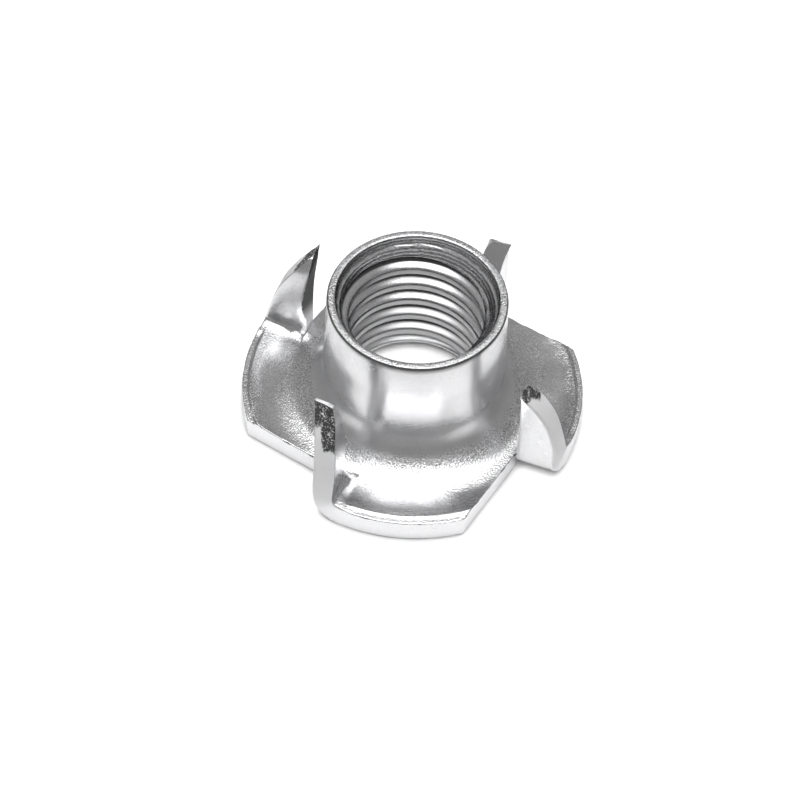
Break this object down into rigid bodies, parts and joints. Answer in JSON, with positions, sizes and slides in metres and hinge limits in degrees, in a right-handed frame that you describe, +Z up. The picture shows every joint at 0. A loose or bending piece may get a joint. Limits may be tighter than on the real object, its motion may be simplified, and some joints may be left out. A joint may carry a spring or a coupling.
{
  "type": "pronged tee nut",
  "caption": "Pressed steel tee nut: a threaded barrel drawn up from a round flange whose sheared segments are folded up as prongs.",
  "frame": {"origin": "centre of the bore at the flange's flat underside", "axes": "+Z up along the barrel towards its rim; the sheared straight edges of the flange lie parallel to X and Y"},
  "size_m": [0.022, 0.022, 0.0103],
  "materials": {
    "zinc_plate": "bright zinc plate over pressed steel, with a fine orange-peel grain on the flange and torn edges at the prong tips"
  },
  "bodies": {
    "root": {"tee_nut": "zinc_plate"}
  },
  "joints": []
}
